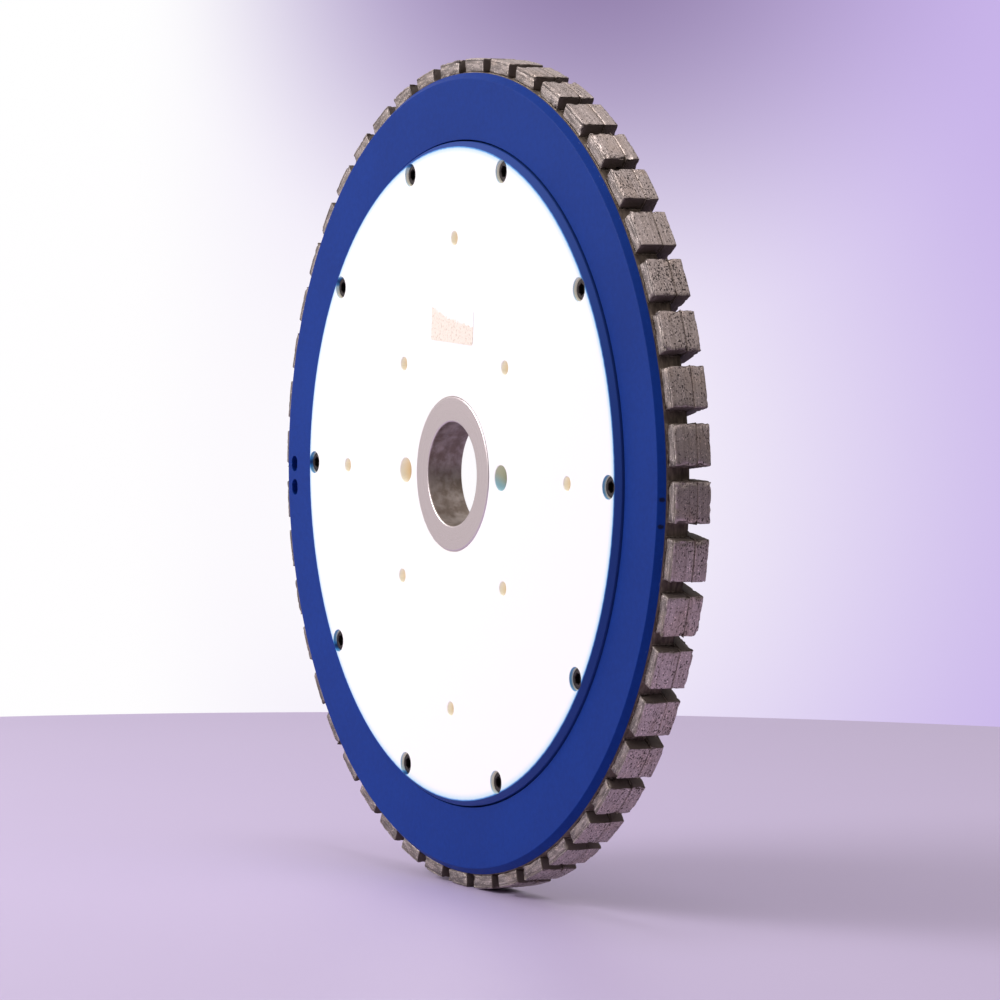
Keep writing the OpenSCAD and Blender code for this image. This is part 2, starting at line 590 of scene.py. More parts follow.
@dataclass(frozen=True)
class WornPaper(Finish):
    """A blank paper label whose upper layer has rubbed away above a ragged falling line."""

    slot: str = "label_paper"
    paper: Colour = (0.90, 0.885, 0.875)
    peach: Colour = (0.83, 0.735, 0.635)
    specks: Colour = (0.56, 0.46, 0.36)
    middle_z: float = 71.4
    width: float = 43.6

    def surface(self, graph: Graph) -> dict[str, Value]:
        """Peach residue with brown specks below a falling line, and white fibres above it.

        Args:
            graph: The tree that takes the nodes.

        Returns:
            The shader's inputs by name.
        """
        at = graph.place()
        ragged = (graph.grain(at.vector, 4.0, 4.0, 0.6) - 0.5) * 9.0
        share = 0.47 - at.x / self.width
        above = at.z + at.x * 0.052 + ragged * 0.6 - share * share * 7.5 - self.middle_z
        kept = above.smooth(1.9, 0.4)
        blots = graph.grain(at.vector, 1.3, 4.0, 0.7).smooth(0.50, 0.64)
        fibre = graph.grain(at.vector, 0.5, 4.0, 0.7)
        colour = graph.mix(kept, self.paper, self.peach)
        colour = graph.mix(kept * blots * 0.75, colour, self.specks)
        return {
            "Base Color": colour,
            "Roughness": 0.78 + fibre * 0.15,
            "Specular IOR Level": 0.2,
            "Normal": graph.bump(fibre * 0.6 + kept * 0.5, 0.05),
        }


@dataclass(frozen=True)
class SilverSolder(Finish):
    """Silver solder, heat-tinted from straw to brown."""

    slot: str = "braze_metal"
    straw: Colour = (0.33, 0.27, 0.22)
    brown: Colour = (0.14, 0.105, 0.085)

    def surface(self, graph: Graph) -> dict[str, Value]:
        """Bright and burnt patches that follow the seam.

        Args:
            graph: The tree that takes the nodes.

        Returns:
            The shader's inputs by name.
        """
        at = graph.place()
        burnt = graph.grain(at.vector, 2.0, 4.0, 0.6)
        beads = graph.grain(at.vector, 0.5, 3.0, 0.6)
        return {
            "Base Color": graph.mix(burnt.smooth(0.38, 0.62), self.brown, self.straw),
            "Metallic": 0.7,
            "Roughness": 0.44 + burnt * 0.25,
            "Normal": graph.bump(beads, 0.06),
        }


@dataclass(frozen=True)
class SinteredMetal(Finish):
    """Metal bond with diamond pits: ground on the working faces, sooty and rough on the ends."""

    slot: str = "segment_metal"
    ground: Colour = (0.55, 0.465, 0.435)
    smear: Colour = (0.36, 0.295, 0.265)
    bronze: Colour = (0.54, 0.39, 0.28)
    soot: Colour = (0.105, 0.080, 0.066)
    pit: Colour = (0.030, 0.023, 0.020)
    joint_y: float = 9.5
    outer_r: float = 200.0

    def surface(self, graph: Graph) -> dict[str, Value]:
        """Circumferential grinding streaks, pits and the front groove painted near black as painted shade in
        them, and bronze along the joint.

        Args:
            graph: The tree that takes the nodes.

        Returns:
            The shader's inputs by name.
        """
        at = graph.place()
        face = graph.facing(at)
        ends = face.around.smooth(0.35, 0.75)
        front = face.front.smooth(0.6, 0.9)
        cloud = graph.grain(at.vector, 14.0, 3.0)
        broad = graph.streaks(at, 26.0, 1.1, 3.0)
        fine = graph.streaks(at, 8.0, 0.28, 3.0)
        pitted = graph.grain(at.vector, 26.0, 2.0).smooth(0.36, 0.66)
        holes = graph.streaks(at, 1.0, 0.6, 2.5)
        pits = (holes + pitted * 0.06).smooth(0.60, 0.655) * (1.0 - front * 0.75) * (1.0 - ends)
        flecks = graph.streaks(at, 0.8, 0.45, 2.0).smooth(0.58, 0.68) * (1.0 - ends)
        groove = at.r.between(self.outer_r - 1.45, self.outer_r - 1.15, 0.22) * front
        groove = groove * broad.smooth(0.38, 0.55)
        drift = (graph.grain(at.vector, 5.0, 3.0) - 0.5) * 1.2
        joint = (at.y + drift).between(self.joint_y - 0.1, self.joint_y + 0.35, 0.45)
        joint = joint * broad.smooth(0.35, 0.6) * (1.0 - ends * 0.7)
        tone = (broad * 0.6 + fine * 0.4).smooth(0.34, 0.62)
        colour = graph.mix(tone, self.smear, self.ground)
        colour = graph.mix(cloud.smooth(0.45, 0.8) * 0.3, colour, self.bronze)
        colour = graph.mix(joint * 0.2, colour, self.bronze)
        # Faces towards the front are made darker than the rest, by an amount that varies in streaks round
        # the axis.
        front_dark_streaks = graph.streaks(at, 7.0, 1.6, 3.0).smooth(0.62, 0.38)
        colour = graph.dim(colour, 1.0 + flecks * 0.9 - front * (0.44 + front_dark_streaks * 0.28))
        colour = graph.mix(ends * (0.86 + cloud * 0.2), colour, self.soot)
        # Pits and the groove are mixed towards near black: painted shade in these small hollows.
        colour = graph.mix(pits * 0.92 + groove * 0.6, colour, self.pit)
        rough = graph.grain(at.vector, 0.9, 4.0, 0.65)
        height = fine * 0.35 + broad * 0.3 - pits * 1.3 - groove * 0.8 + rough * ends * 1.4
        return {
            "Base Color": colour,
            "Metallic": 0.85 - pits * 0.7 - ends * 0.7,
            "Specular IOR Level": 0.3,
            "Roughness": 0.34 + fine * 0.16 + pits * 0.4 + ends * 0.25 + front * 0.08,
            "Normal": graph.bump(height, 0.11),
        }


@dataclass(frozen=True)
class StudioFloor(Finish):
    """A plain pale floor with a soft sheen."""

    slot: str = "studio_floor"
    pale: Colour = (0.52, 0.435, 0.63)
    cool: Colour = (0.50, 0.415, 0.61)

    def surface(self, graph: Graph) -> dict[str, Value]:
        """Nearly even paint.

        Args:
            graph: The tree that takes the nodes.

        Returns:
            The shader's inputs by name.
        """
        at = graph.place()
        cloud = graph.grain(at.vector, 400.0, 2.0)
        return {
            "Base Color": graph.mix(cloud, self.pale, self.cool),
            "Roughness": 0.42 + cloud * 0.06,
            "Specular IOR Level": 0.3,
            "Normal": graph.bump(graph.grain(at.vector, 2.0), 0.004),
        }


# --- mesh tools


def polar(radius: float, angle: float, at: Spot = (0.0, 0.0)) -> Spot:
    """The x and z of a point at an angle on a circle round a spot."""
    return at[0] + radius * math.cos(angle), at[1] + radius * math.sin(angle)


def on_circle(count: int, radius: float, phase: float = 0.0) -> list[Spot]:
    """The x and z of evenly spaced points on a circle round the spindle axis."""
    return [polar(radius, phase + math.tau * k / count) for k in range(count)]


def on_wheel(local: Vector, angle: float) -> Vector:
    """Bends a point of a straight block round the wheel and turns it to its station.

    Args:
        local: The point along the circumference, outwards from the axis and backwards.
        angle: The station's angle, in radians.

    Returns:
        The point, in millimetres.
    """
    reach = math.sqrt(local.y**2 - local.x**2)
    x = reach * math.cos(angle) - local.x * math.sin(angle)
    z = reach * math.sin(angle) + local.x * math.cos(angle)
    return Vector((x, local.z, z))


def softened(outline: Outline, steps: int = 4) -> list[tuple[float, float]]:
    """Rounds the corners of a closed outline.

    Args:
        outline: Each corner's radius, its place along the axis, and how far it is rounded.
        steps: Straight pieces in each rounded corner.

    Returns:
        The radius and the place of each point.
    """
    points = []
    for i, (r, y, soft) in enumerate(outline):
        if soft <= 0:
            points.append((r, y))
            continue
        here = Vector((r, y))
        before = Vector(outline[i - 1][:2])
        after = Vector(outline[(i + 1) % len(outline)][:2])
        reach = min(soft, 0.45 * (before - here).length, 0.45 * (after - here).length)
        start = here + (before - here).normalized() * reach
        end = here + (after - here).normalized() * reach
        for t in (k / steps for k in range(steps + 1)):
            point = start * (1 - t) ** 2 + here * 2 * t * (1 - t) + end * t**2
            points.append((point.x, point.y))
    return points


def turned(
    name: str, outline: Outline, steps: int, at: Spot = (0.0, 0.0), phase: float = 0.0,
    shape: Callable[[float, float, int], float] = lambda r, y, k: r,
) -> Thing:
    """Turns a closed outline round an axis parallel to Y.

    Args:
        name: The object's name.
        outline: The section's corners.
        steps: Points round a full turn.
        at: The axis' x and z.
        phase: Share of a step by which the points are turned.
        shape: The radius from the nominal radius, the place along the axis and the step.

    Returns:
        The new object.
    """
    bm = bmesh.new()
    rings = []
    for r, y in softened(outline):
        ring = []
        for k in range(steps if r > 0.0 else 1):
            x, z = polar(shape(r, y, k), math.tau * (k + phase) / steps, at)
            ring.append(bm.verts.new((x * MM, y * MM, z * MM)))
        rings.append(ring)
    bridge(bm, rings + rings[:1])
    return as_object(name, bm)


def bridge(bm: Mesh, rings: list[list]) -> None:
    """Joins a row of rings of points with faces, where a ring may be one point on the axis.

    Args:
        bm: The mesh.
        rings: The rings in order.
    """
    for a, b in zip(rings, rings[1:]):
        count = max(len(a), len(b))
        for k, following in ((k, (k + 1) % count) for k in range(count if count > 1 else 0)):
            corners = [a[k % len(a)], a[following % len(a)], b[following % len(b)], b[k % len(b)]]
            bm.faces.new(list(dict.fromkeys(corners)))


def skin(bm: Mesh, points: Grid, last: Sequence[int], flat: int | None = None) -> None:
    """Puts faces all round a block of surface points.

    Args:
        bm: The mesh.
        points: The points by their three indices.
        last: The highest index each way.
        flat: A level of the third index that gets one single face.
    """
    for axis in range(3):
        a, b = [other for other in range(3) if other != axis]
        for level in (0, last[axis]):
            if axis == 2 and level == flat:
                continue
            for i, j in product(range(last[a]), range(last[b])):
                corners = []
                for di, dj in ((0, 0), (1, 0), (1, 1), (0, 1)):
                    key = [level, level, level]
                    key[a], key[b] = i + di, j + dj
                    corners.append(points[tuple(key)])
                bm.faces.new(corners)
    if flat is not None:
        wide, high = last[0], last[1]
        border = [(i, 0) for i in range(wide)] + [(wide, j) for j in range(high)]
        border += [(i, high) for i in range(wide, 0, -1)] + [(0, j) for j in range(high, 0, -1)]
        bm.faces.new([points[i, j, flat] for i, j in border])


def placed(name: str, data: bpy.types.ID, matrix: Matrix = Matrix()) -> Thing:
    """Links a new object into the scene.

    Args:
        name: Its name.
        data: Its mesh, light or camera.
        matrix: Its place.

    Returns:
        The object.
    """
    made = bpy.data.objects.new(name, data)
    made.matrix_world = matrix
    bpy.context.scene.collection.objects.link(made)
    return made


def as_object(name: str, bm: Mesh) -> Thing:
    """Makes an object of a finished bmesh, which is freed, with its faces turned outwards.

    Args:
        name: The object's name.
        bm: The mesh.

    Returns:
        The object.
    """
    bmesh.ops.recalc_face_normals(bm, faces=bm.faces)
    mesh = bpy.data.meshes.new(name)
    bm.to_mesh(mesh)
    bm.free()
    return placed(name, mesh)


def joined(name: str, parts: Sequence[Thing]) -> Thing:
    """One new object with several objects' meshes, which are removed.

    Args:
        name: Its name.
        parts: The objects.

    Returns:
        The new object.
    """
    bm = bmesh.new()
    for part in parts:
        bm.from_mesh(part.data)
        bpy.data.objects.remove(part)
    return as_object(name, bm)


def cutter(
    r: float, front: float, at: Spot, lip: float, soft: float, end: Outline,
    steps: int = 64, phase: float = TOOL_PHASE,
) -> Thing:
    """A tool that cuts a round hole with a softened mouth.

    Args:
        r: The hole's radius.
        front: Height of its mouth.
        at: Its x and z.
        lip: How far the mouth is opened out.
        soft: How far the corner under the lip is rounded.
        end: The section's corners from the hole's end to the axis.
        steps: Points round the hole.
        phase: Share of a step by which they are turned, to keep them clear of the body's own.

    Returns:
        The tool.
    """
    mouth = [(0.0, front - 1.0, 0.0), (r + lip, front - 1.0, 0.0), (r + lip, front - 0.001, 0.0)]
    return turned("cutter", [*mouth, (r, front + lip, soft), *end], steps, at, phase)


def hole(r: float, front: float, back: float, at: Spot, flare: float = 0.3) -> Thing:
    """A tool for a hole right through, with softened mouths.

    Args:
        r: The hole's radius.
        front: Height of the front mouth.
        back: Height of the back mouth.
        at: The hole's x and z.
        flare: How far each mouth is opened out.

    Returns:
        The tool.
    """
    soft = 0.55 * flare
    wide = r + flare
    past = back + 1.0
    end = [(r, back - flare, soft), (wide, back + 0.001, 0.0), (wide, past, 0.0), (0.0, past, 0.0)]
    return cutter(r, front, at, flare, soft, end)


def carve(body: Thing, tools: Sequence[Thing]) -> None:
    """Cuts tools out of a body for good, and removes them.

    Args:
        body: The object that is cut.
        tools: Closed shapes that don't touch each other.
    """
    tool = joined("tool", tools)
    cut = body.modifiers.new("cut", "BOOLEAN")
    cut.operation = "DIFFERENCE"
    cut.solver = "EXACT"
    cut.object = tool
    graph = bpy.context.evaluated_depsgraph_get()
    mesh = bpy.data.meshes.new_from_object(body.evaluated_get(graph))
    body.modifiers.clear()
    body.data = mesh
    bpy.data.objects.remove(tool)


def shade(piece: Thing, crease_deg: float = 38.0, weighted: bool = True) -> None:
    """Smooths a piece's shading up to an angle between its faces.

    Args:
        piece: The object.
        crease_deg: Edges sharper than this stay sharp.
        weighted: Lets large flat faces set the shading round their edges.
    """
    bm = bmesh.new()
    bm.from_mesh(piece.data)
    bmesh.ops.remove_doubles(bm, verts=bm.verts, dist=1e-7)
    bmesh.ops.dissolve_degenerate(bm, edges=bm.edges, dist=1e-8)
    for face in bm.faces:
        face.smooth = True
    for edge in bm.edges:
        edge.smooth = len(edge.link_faces) == 2 and edge.calc_face_angle(0.0) < math.radians(crease_deg)
    bm.to_mesh(piece.data)
    bm.free()
    if weighted:
        normals = piece.modifiers.new("weighted", "WEIGHTED_NORMAL")
        normals.keep_sharp = True
        normals.weight = 80


def dress(piece: Thing, finish: Finish, *nodes: str) -> None:
    """Gives a piece its finish and its body, hides the CAD nodes that it stands for, and reports it.

    Args:
        piece: The object, in place.
        finish: Its finish.
        nodes: The CAD nodes that it replaces.
    """
    piece.data.materials.clear()
    piece.data.materials.append(finish.material())
    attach(piece, BODY)
    if nodes:
        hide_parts(*nodes)
    LOG.info("%s: %d faces", piece.name, len(piece.data.polygons))


class Extent(NamedTuple):
    """A CAD node's front, back and outer radius, in millimetres."""

    front: float
    back: float
    outer: float

    @classmethod
    def of(cls, node: str) -> Extent:
        """Reads a node's box from the frame."""
        low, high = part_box(node)
        return cls(low.y / MM, high.y / MM, high.x / MM)


# --- sub-assemblies


@dataclass
class SteelRim:
    """The blue rim: a flat front with an outer chamfer, a recess and a tapped flange for the core."""

    finish: BlueEnamel
    chamfer: float = 3.0
    recess_r: float = 160.7
    flange_r: float = 140.0
    flange_t: float = 7.5
    thread_r: float = 3.0
    balance_r: float = 182.8
    balance_deg: tuple[float, ...] = (180.6, 184.4)
    touch_apart: float = 1.8
    drill_r: float = 3.1
    drill_depth: float = 6.0
    drill_point_deg: float = 31.0
    steps: int = 384

    def build(self) -> None:
        """Turns the rim, drills it and dresses it."""
        front, back, outer = Extent.of("rim_ring")
        flange_y = back - self.flange_t
        outline = [
            (self.flange_r, back, 0.4),
            (outer, back, 0.4),
            (outer, front + self.chamfer, 0.3),
            (outer - self.chamfer, front, 0.35),
            (self.recess_r, front, 0.35),
            (self.recess_r, flange_y, 0.5),
            (self.flange_r, flange_y, 0.3),
        ]
        rim = turned("rim_ring", outline, self.steps)
        carve(rim, [hole(self.thread_r, flange_y, back, at, 0.35) for at in on_circle(SCREW_COUNT, SCREW_R)])
        for touch in (-0.5, 0.5):
            carve(rim, [self.drilling(front, math.radians(angle), touch) for angle in self.balance_deg])
        shade(rim)
        dress(rim, self.finish, "rim_ring")

    def drilling(self, front: float, angle: float, touch: float) -> Thing:
        """A tool for one touch of the balancing drill.

        Args:
            front: Height of the rim's flat front.
            angle: The pair's angle from +X, in radians.
            touch: This touch's place in the pair, from -0.5 to 0.5.

        Returns:
            The tool, with a drill's conical point.
        """
        side = touch * self.touch_apart
        x, z = polar(self.balance_r, angle)
        at = (x - side * math.sin(angle), z + side * math.cos(angle))
        point = self.drill_r * math.tan(math.radians(self.drill_point_deg))
        deep = front + self.drill_depth
        end = [(self.drill_r, deep - point, 0.1), (0.0, deep, 0.0)]
        return cutter(self.drill_r, front, at, 0.2, 0.1, end, phase=TOOL_PHASE + 0.2 * touch)


@dataclass
class NylonCore:
    """The white core plate with its counterbores, bolt holes and drive pin holes."""

    finish: MachinedNylon
    bevel: float = 2.7
    spigot_r: float = 139.7
    flange_t: float = 7.5
    shoulder_t: float = 4.0
    bush_r: float = 37.5
    play: float = 0.05
    pocket_r: float = 5.5
    clearance_r: float = 3.3
    seat_y: float = -1.8
    steps: int = 384
    circles: Sequence[tuple[str, float]] = (("outer_bolts", 0.0), ("inner_bolts", 45.0), ("pin_holes", 0.0))

    def build(self) -> None:
        """Turns the core, drills it and dresses it."""
        front, back, outer = Extent.of("core_disc")
        shoulder_r = Extent.of("hub_bush").outer + self.play
        bush_r = self.bush_r + self.play
        flange_y = back - self.flange_t
        shoulder_y = back - self.shoulder_t
        outline = [
            (shoulder_r, back, 0.25),
            (self.spigot_r, back, 0.35),
            (self.spigot_r, flange_y, 0.3),
            (outer, flange_y, 0.3),
            (outer, front + self.bevel, 0.35),
            (outer - self.bevel, front, 0.3),
            (bush_r, front, 0.2),
            (bush_r, shoulder_y, 0.2),
            (shoulder_r, shoulder_y, 0.2),
        ]
        core = turned("core_disc", outline, self.steps)
        screws = on_circle(SCREW_COUNT, SCREW_R)
        carve(core, [hole(self.clearance_r, self.seat_y - 1.0, flange_y, at, 0.15) for at in screws])
        seat = [(self.pocket_r, self.seat_y, 0.3), (0.0, self.seat_y, 0.0)]
        carve(core, [cutter(self.pocket_r, front, at, 0.2, 0.1, seat, 72) for at in screws])
        fixings = []
        for name, phase_deg in self.circles:
            dims = MOUNTS[name]
            spots = on_circle(dims["count"], dims["pcd_mm"] / 2, math.radians(phase_deg))
            fixings += [hole(dims["hole_r_mm"], front, back, at) for at in spots]
        carve(core, fixings)
        shade(core)
        dress(core, self.finish, "core_disc")


@dataclass
class BoreBush:
    """The steel bush with the bore, and its shoulder behind the core."""

    finish: TurnedSteel
    front_r: float = 37.5
    shoulder_t: float = 4.0
    chamfer: float = 1.0
    bore_chamfer: float = 0.6
    steps: int = 256

    def build(self) -> None:
        """Turns the bush and dresses it."""
        front, back, outer = Extent.of("hub_bush")
        bore_r = MOUNTS["bore"]["r_mm"]
        shoulder_y = back - self.shoulder_t
        broken_y = back - self.bore_chamfer
        outline = [
            (bore_r, broken_y, 0.15),
            (bore_r + self.bore_chamfer, back, 0.15),
            (outer - self.bore_chamfer, back, 0.2),
            (outer, broken_y, 0.2),
            (outer, shoulder_y, 0.2),
            (self.front_r, shoulder_y, 0.3),
            (self.front_r, front, self.chamfer),
            (bore_r, front, self.chamfer),
        ]
        bush = turned("hub_bush", outline, self.steps)
        shade(bush)
        dress(bush, self.finish, "hub_bush")


@dataclass
class CapScrews:
    """The socket head cap screws, knurled and chamfered, each with its hexagon turned its own way."""

    finish: BlackenedSteel
    head_r: float = 5.0
    head_h: float = 6.0
    head_chamfer: float = 0.55
    thread_r: float = 2.95
    root_r: float = 2.45
    pitch: float = 1.0
    plain: float = 1.2
    hex_flats: float = 5.0
    hex_depth: float = 3.0
    countersink: float = 0.35
    knurls: int = 36
    knurl_depth: float = 0.16
    seed: int = 11

    def build(self) -> None:
        """Makes the screws as one piece of separate solids, as the CAD groups them."""
        draw = random.Random(self.seed)
        screws = [self.screw(at, draw.random()) for at in on_circle(SCREW_COUNT, SCREW_R)]
        piece = joined("cap_screws", screws)
        shade(piece, 32.0)
        dress(piece, self.finish, "cap_screws")

    def screw(self, at: Spot, turn: float) -> Thing:
        """One screw.

        Args:
            at: Its axis' x and z.
            turn: How far its hexagon is turned, as a share of one side.

        Returns:
            The screw.
        """
        top, tip, _ = Extent.of("cap_screws")
        seat = top + self.head_h

        def ridged(r: float, y: float, step: int) -> float:
            """The radius, with every other point of the head's side pulled in."""
            on_side = r > self.head_r - 0.05 and top + 0.6 < y < seat - 0.1
            return r - self.knurl_depth * (step % 2) if on_side else r

        outline = [
            (0.0, top, 0.0),
            (self.head_r - self.head_chamfer, top, 0.2),
            (self.head_r, top + self.head_chamfer, 0.15),
            (self.head_r, seat, 0.2),
            (self.thread_r, seat, 0.2),
            (self.thread_r, seat + self.plain, 0.1),
        ]
        for k in range(int((tip - seat - self.plain - 0.8) / self.pitch)):
            start = seat + self.plain + k * self.pitch
            outline.append((self.root_r, start + 0.5 * self.pitch, 0.05))
            outline.append((self.thread_r, start + self.pitch, 0.05))
        outline += [(self.root_r, tip, 0.1), (0.0, tip, 0.0)]
        corner_r = self.hex_flats / 2 / math.cos(math.pi / 6)
        key = [
            (0.0, top - 1.0, 0.0),
            (corner_r + self.countersink, top - 1.0, 0.0),
            (corner_r + self.countersink, top - 0.001, 0.0),
            (corner_r, top + 0.3, 0.0),
            (corner_r, top + self.hex_depth - 0.8, 0.0),
            (0.0, top + self.hex_depth, 0.0),
        ]
        screw = turned("screw", outline, 2 * self.knurls, at, shape=ridged)
        carve(screw, [turned("key", key, 6, at, turn)])
        return screw


@dataclass
class PaperLabel:
    """The blank label: a thin sheet with softened corners that lies on the face with a slight ripple."""

    finish: WornPaper
    width: float = 43.6
    height: float = 16.8
    thickness: float = 0.15
    ripple: float = 0.05
    tilt_deg: float = 3.0
    columns: int = 56
    rows: int = 22
    corner: float = 1.1

    def build(self) -> None:
        """Lays the sheet in the middle of its CAD box."""
        low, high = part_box("label_patch")
        middle = (low + high) / 2 / MM
        tilt = Matrix.Rotation(math.radians(self.tilt_deg), 3, "Y")
        back = high.y / MM
        bm = bmesh.new()
        points = {}
        for i, j in product(range(self.columns + 1), range(self.rows + 1)):
            across, up = self.trimmed(i / self.columns * 2 - 1, j / self.rows * 2 - 1)
            wave = noise.noise(Vector((across * 0.12, up * 0.12, 3.7)))
            lift = self.thickness - self.ripple * (0.5 + 0.5 * wave)
            point = tilt @ Vector((across, 0.0, up)) + Vector((middle.x, 0.0, middle.z))
            for side, t in enumerate((lift, 0.0)):
                points[i, j, side] = bm.verts.new(Vector((point.x, back - t, point.z)) * MM)
        skin(bm, points, (self.columns, self.rows, 1))
        sheet = as_object("label_patch", bm)
        shade(sheet, 50.0, weighted=False)
        dress(sheet, self.finish, "label_patch")

    def trimmed(self, u: float, v: float) -> Spot:
        """A point of the sheet with its rounded corners.

        Args:
            u: From -1 at the left to 1 at the right.
            v: From -1 at the bottom to 1 at the top.

        Returns:
            Its place across and up.
        """
        half_w, half_h = self.width / 2, self.height / 2
        past = max(0.0, abs(v) * half_h - (half_h - self.corner)) / self.corner
        pull = self.corner * (1 - math.sqrt(max(0.0, 1 - past**2)))
        fray = 0.25 * noise.noise(Vector((u * 9.0, v * 5.0, 1.3)))
        return u * (half_w - pull - 0.25 + fray * abs(u)), v * (half_h - 0.2 + 0.5 * fray * abs(v))


class Ring(Enum):
    """The two rings of segments."""

    RIM = "rim"
    SIDE = "side"


@dataclass(frozen=True)
class Block:
    """A segment's nominal length, radii and heights, and the side that its neighbour is on."""

    length: float
    inner: float
    outer: float
    front: float
    back: float
    joint: int


@dataclass
class Wear:
    """How one station's segments differ from the next."""

    seed: float
    shift: float
    short: float
    edge: float
    ragged: float


@dataclass
class DiamondSegments:
    """The brazed segments: one on the rim's cylinder and one behind the rim at each station."""

    finish: SinteredMetal
    rim_length: float = 19.6
    side_length: float = 20.0
    side_height: float = 24.0
    seam: float = 0.2
    groove_r: float = 1.3
    groove_depth: float = 0.2
    overlap: float = 3.0
    cell: float = 1.1
    seed: int = 5

    def build(self) -> None:
        """Makes every segment as its own piece."""
        rim = Extent.of("rim_segment_01")
        side = Extent.of("side_segments")
        seat = Extent.of("rim_ring").outer + self.seam
        inner = side.outer - self.side_height
        blocks = {
            Ring.RIM: Block(self.rim_length, seat, side.outer, rim.front, rim.back, 1),
            Ring.SIDE: Block(self.side_length, inner, side.outer, side.front, side.back, -1),
        }
        draw = random.Random(self.seed)
        for n in range(STATIONS):
            wear = Wear(
                seed=draw.uniform(0.0, 900.0),
                shift=draw.uniform(-0.2, 0.2),
                short=draw.uniform(0.0, 0.5),
                edge=draw.uniform(0.55, 0.95),
                ragged=draw.uniform(0.35, 1.0) ** 2,
            )
            for ring, block in blocks.items():
                name = f"{ring.value}_segment_{n + 1:02d}"
                piece = self.segment(name, block, wear, STATION_PHASE + math.tau * n / STATIONS)
                dress(piece, self.finish, name if ring is Ring.RIM else "side_segments")

    def segment(self, name: str, block: Block, wear: Wear, angle: float) -> Thing:
        """One segment with rounded, chipped edges, cut off flat where it meets its neighbour.

        Args:
            name: The piece's name.
            block: Its nominal size.
            wear: How its station is worn.
            angle: Its station's angle, in radians.

        Returns:
            The piece.
        """
        front = block.front - (self.overlap if block.joint < 0 else 0.0)
        back = block.back + (self.overlap if block.joint > 0 else 0.0)
        half = Vector(((block.length - wear.short) / 2, (block.outer - block.inner) / 2, (back - front) / 2))
        middle = Vector((wear.shift, (block.outer + block.inner) / 2, (back + front) / 2))
        groove = [half.y - self.groove_r + d for d in (-0.25, 0.0, 0.25)]
        rows = [
            self.samples(half.x, wear.edge),
            self.samples(half.y, wear.edge, groove),
            self.samples(half.z, wear.edge),
        ]
        low, high = block.front - middle.z, block.back - middle.z
        rows[2] = [low, *[y for y in rows[2] if low + 0.05 < y < high - 0.05], high]
        last = [len(row) - 1 for row in rows]
        flat = last[2] if block.joint > 0 else 0
        bm = bmesh.new()
        points = {}
        for i, j, k in product(*(range(n + 1) for n in last)):
            if i in (0, last[0]) or j in (0, last[1]) or k == last[2] - flat:
                local = self.weathered(Vector((rows[0][i], rows[1][j], rows[2][k])), half, middle, wear)
                points[i, j, k] = bm.verts.new(on_wheel(local, angle) * MM)
        skin(bm, points, last, flat)
        piece = as_object(name, bm)
        for face in piece.data.polygons:
            face.use_smooth = len(face.vertices) == 4
        return piece

    def samples(self, half: float, edge: float, extra: Sequence[float] = ()) -> list[float]:
        """Places across a segment, closer together where its edges are rounded.

        Args:
            half: Half its size that way.
            edge: Radius of its edges.
            extra: Places that are kept as they are.

        Returns:
            The places in order, from -half to half.
        """
        flat = half - edge
        count = max(3, round(2 * flat / self.cell))
        inner = [-flat + 2 * flat * k / count for k in range(count + 1)]
        inner = [x for x in inner if all(abs(x - e) > 0.3 for e in extra)]
        rounding = [half - edge * share for share in (0.0, 0.12, 0.35, 0.65)]
        return sorted([*inner, *extra, *rounding, *[-x for x in rounding]])

    def weathered(self, point: Vector, half: Vector, middle: Vector, wear: Wear) -> Vector:
        """Moves a point of a plain block onto the rounded, worn and chipped one.

        Args:
            point: A point on the block's surface, from its middle: along, outwards and backwards.
            half: Half the block's size.
            middle: The block's middle, counted from the wheel's.
            wear: How this station is worn.

        Returns:
            The moved point, counted from the wheel's middle and never outside the block.
        """
        core = Vector(tuple(max(wear.edge - h, min(h - wear.edge, p)) for p, h in zip(point, half)))
        normal = (point - core).normalized()
        place = core + normal * wear.edge
        where = Vector((wear.seed, wear.seed * 0.7, 0.0)) + place + middle
        depth = 0.04 + 0.05 * noise.noise(where * 0.35)
        gaps = sorted(h - abs(p) for p, h in zip(place, half))
        near_edge = max(0.0, 1.0 - gaps[1] / 2.6)
        bite = max(0.0, noise.noise(where * 0.34) + 0.5 * noise.noise(where * 1.1) - 0.05)
        depth += bite * near_edge * (0.7 + 2.1 * wear.ragged) * (0.4 + 0.9 * (half.x - abs(place.x) < 2.6))
        depth += abs(normal.x) * 0.3 * (0.5 + 0.5 * noise.noise(where * 0.9))
        if abs(place.y - (half.y - self.groove_r)) < 0.1:
            depth += max(0.0, -normal.z) ** 4 * self.groove_depth * (0.6 + 0.6 * noise.noise(where * 0.2))
        return place - normal * max(0.0, depth) + middle


